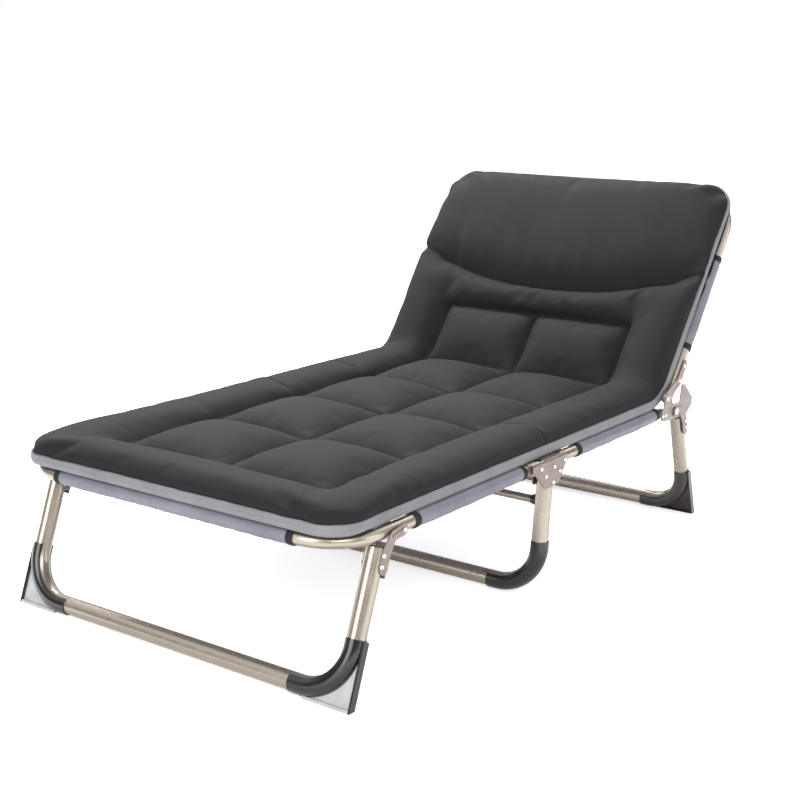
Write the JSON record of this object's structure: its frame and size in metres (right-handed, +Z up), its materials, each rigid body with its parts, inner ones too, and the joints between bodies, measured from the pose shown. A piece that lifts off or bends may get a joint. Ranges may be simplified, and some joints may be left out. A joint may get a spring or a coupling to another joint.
{
  "type": "folding cot",
  "caption": "Folding cot with a padded reclining top on a bent-tube frame that stands on folding U-shaped legs.",
  "frame": {"origin": "on the floor, under the centre of the overall box", "axes": "+Y towards the head end, +X to the right of a person lying on the back, +Z up"},
  "size_m": [0.744, 1.4044, 0.7037],
  "materials": {
    "frame_paint": "champagne pearl powder coat",
    "bracket_steel": "grey-brown coated pressed steel",
    "rivet_steel": "bright zinc",
    "cap_plastic": "glossy black moulding",
    "web_plastic": "light grey moulding",
    "plug_plastic": "matt black moulding",
    "sling_cloth": "blue-grey coated weave",
    "cuff_tape": "black tape",
    "binding_tape": "grey woven tape",
    "pad_cloth": "brushed charcoal weave"
  },
  "bodies": {
    "mid_frame": {"brace_bar": "frame_paint", "brace_ferrule_left": "cap_plastic", "brace_ferrule_right": "cap_plastic", "mid_bracket_left": "bracket_steel", "mid_bracket_right": "bracket_steel", "mid_bracket_rivets": "rivet_steel", "mid_bracket_spacers": "rivet_steel", "mid_foot_cap_left": "cap_plastic", "mid_foot_cap_right": "cap_plastic", "mid_leg_plugs": "plug_plastic", "mid_leg_tube": "frame_paint"},
    "foot_section": {"foot_pad": "pad_cloth", "foot_pad_binding": "binding_tape", "foot_rail": "frame_paint", "foot_rail_plugs": "plug_plastic", "foot_saddle_left": "bracket_steel", "foot_saddle_right": "bracket_steel", "foot_section_pins": "rivet_steel", "foot_sleeve_cuffs": "cuff_tape", "foot_sling": "sling_cloth"},
    "seat_section": {"recliner_base_plate_left": "bracket_steel", "recliner_base_plate_right": "bracket_steel", "recliner_spacers": "rivet_steel", "seat_pad": "pad_cloth", "seat_pad_binding": "binding_tape", "seat_rail_left": "frame_paint", "seat_rail_plugs": "plug_plastic", "seat_rail_right": "frame_paint", "seat_saddle_left": "bracket_steel", "seat_saddle_right": "bracket_steel", "seat_section_pins": "rivet_steel", "seat_sleeve_cuffs": "cuff_tape", "seat_sling": "sling_cloth"},
    "back_section": {"back_arm_fixings": "rivet_steel", "back_arm_plate_left": "bracket_steel", "back_arm_plate_right": "bracket_steel", "back_pad": "pad_cloth", "back_pad_binding": "binding_tape", "back_rail": "frame_paint", "back_rail_plugs": "plug_plastic", "back_sleeve_cuffs": "cuff_tape", "back_sling": "sling_cloth", "pillow": "pad_cloth"},
    "front_leg": {"front_foot_cap_left": "cap_plastic", "front_foot_cap_right": "cap_plastic", "front_foot_web_left": "web_plastic", "front_foot_web_right": "web_plastic", "front_leg_bracket_left": "bracket_steel", "front_leg_bracket_right": "bracket_steel", "front_leg_plugs": "plug_plastic", "front_leg_rivets": "rivet_steel", "front_leg_tube": "frame_paint"},
    "rear_leg": {"rear_foot_cap_left": "cap_plastic", "rear_foot_cap_right": "cap_plastic", "rear_leg_bracket_left": "bracket_steel", "rear_leg_bracket_right": "bracket_steel", "rear_leg_fixings": "rivet_steel", "rear_leg_plugs": "plug_plastic", "rear_leg_tube": "frame_paint"}
  },
  "joints": [
    {"name": "foot_fold", "type": "hinge", "parent": "mid_frame", "child": "foot_section", "pos_m": [0, -0.14723, 0.25], "axis": [1, 0, 0], "range_deg": [-80, 0], "deforming": ["foot_pad", "seat_pad", "foot_pad_binding", "seat_pad_binding", "foot_sling", "seat_sling"]},
    {"name": "seat_fold", "type": "hinge", "parent": "mid_frame", "child": "seat_section", "pos_m": [0, -0.06423, 0.25], "axis": [-1, 0, 0], "range_deg": [-80, 0], "deforming": ["foot_pad", "seat_pad", "foot_pad_binding", "seat_pad_binding", "foot_sling", "seat_sling"]},
    {"name": "back_recline", "type": "hinge", "parent": "seat_section", "child": "back_section", "pos_m": [0, 0.36027, 0.283], "axis": [1, 0, 0], "range_deg": [-53, 100], "deforming": ["seat_pad", "back_pad", "seat_pad_binding", "back_pad_binding", "seat_sling", "back_sling", "pillow"]},
    {"name": "front_leg_fold", "type": "hinge", "parent": "foot_section", "child": "front_leg", "pos_m": [0, -0.55923, 0.25], "axis": [1, 0, 0], "range_deg": [0, 110]},
    {"name": "rear_leg_fold", "type": "hinge", "parent": "seat_section", "child": "rear_leg", "pos_m": [0, 0.39777, 0.25], "axis": [1, 0, 0], "range_deg": [-107, 0]}
  ]
}
